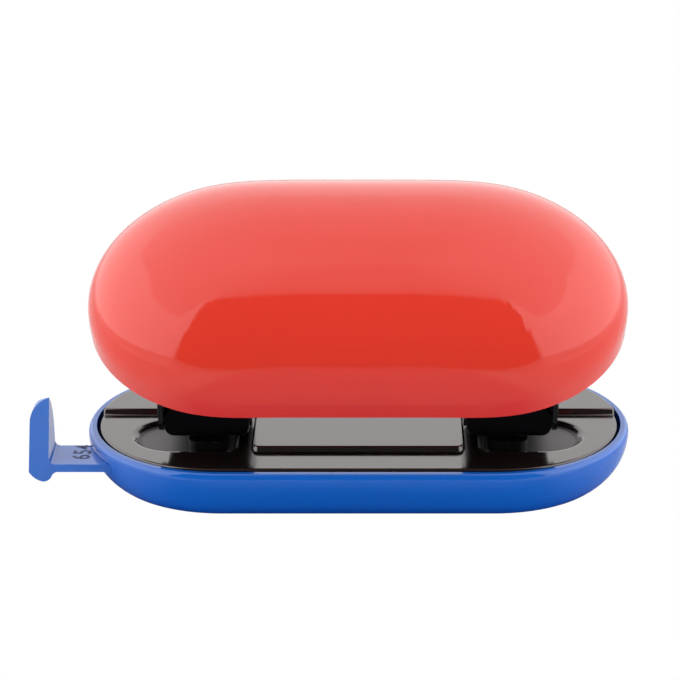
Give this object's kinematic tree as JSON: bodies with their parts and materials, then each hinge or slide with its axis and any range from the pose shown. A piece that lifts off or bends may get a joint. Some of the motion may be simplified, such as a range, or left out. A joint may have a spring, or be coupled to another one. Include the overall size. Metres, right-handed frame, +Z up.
{
  "type": "two-hole punch",
  "caption": "Desk punch with a domed lever cover over two sprung punch heads, on an enamelled steel plate in a pill-shaped chip tray, with a sliding paper guide.",
  "frame": {"origin": "centre of the tray's flat underside, on the desk", "axes": "+X along the length to the user's right, away from the paper guide's stop; +Y away from the side where the paper goes in; +Z up"},
  "size_m": [0.1616, 0.0781, 0.0777],
  "materials": {
    "tray_plastic": "moulded blue, glossy",
    "guide_plastic": "moulded blue, glossy",
    "cover_plastic": "moulded red, glossy",
    "plate_enamel": "black enamel, glossy",
    "head_enamel": "black enamel, satin",
    "lever_enamel": "black enamel, satin",
    "pivot_black": "black oxide, satin",
    "tool_steel": "ground and hardened",
    "spring_steel": "drawn wire and strip",
    "plated_steel": "zinc plated"
  },
  "bodies": {
    "tray": {"base_tray": "tray_plastic"},
    "guide": {"paper_guide": "guide_plastic"},
    "frame": {"base_plate": "plate_enamel", "left_bracket": "head_enamel", "left_die": "tool_steel", "left_spring": "spring_steel", "left_pivot_pin": "pivot_black", "left_pivot_clip": "spring_steel", "right_bracket": "head_enamel", "right_die": "tool_steel", "right_spring": "spring_steel", "right_pivot_pin": "pivot_black", "right_pivot_clip": "spring_steel", "bracket_rivets": "plated_steel"},
    "lever": {"lever_yoke": "lever_enamel", "cover_shell": "cover_plastic", "cover_screws": "plated_steel"},
    "left_punch": {"left_punch_pin": "tool_steel", "left_spring_clip": "spring_steel"},
    "right_punch": {"right_punch_pin": "tool_steel", "right_spring_clip": "spring_steel"}
  },
  "joints": [
    {"name": "guide_slide", "type": "slide", "parent": "tray", "child": "guide", "axis": [-1, 0, 0], "range_m": [-0.0075, 0.067]},
    {"name": "frame_lift", "type": "slide", "parent": "tray", "child": "frame", "axis": [0, 0, 1], "range_m": [0, 0.03]},
    {"name": "lever_press", "type": "hinge", "parent": "frame", "child": "lever", "pos_m": [0, -0.018, 0.0245], "axis": [-1, 0, 0], "range_deg": [0, 21], "stiffness_Nm_per_rad": 0.5, "springref_deg": -17.19},
    {"name": "left_punch_slide", "type": "slide", "parent": "frame", "child": "left_punch", "axis": [0, 0, -1], "range_m": [0, 0.00416], "stiffness_N_per_m": 2, "springref_m": -0.0218, "deforming": ["left_spring"]},
    {"name": "right_punch_slide", "type": "slide", "parent": "frame", "child": "right_punch", "axis": [0, 0, -1], "range_m": [0, 0.0042], "stiffness_N_per_m": 2, "springref_m": -0.0218, "deforming": ["right_spring"]}
  ],
  "couplings": [
    {"joint": "lever_press", "follows": "left_punch_slide", "rad_per_m": 88.1},
    {"joint": "right_punch_slide", "follows": "left_punch_slide", "ratio": 1}
  ]
}
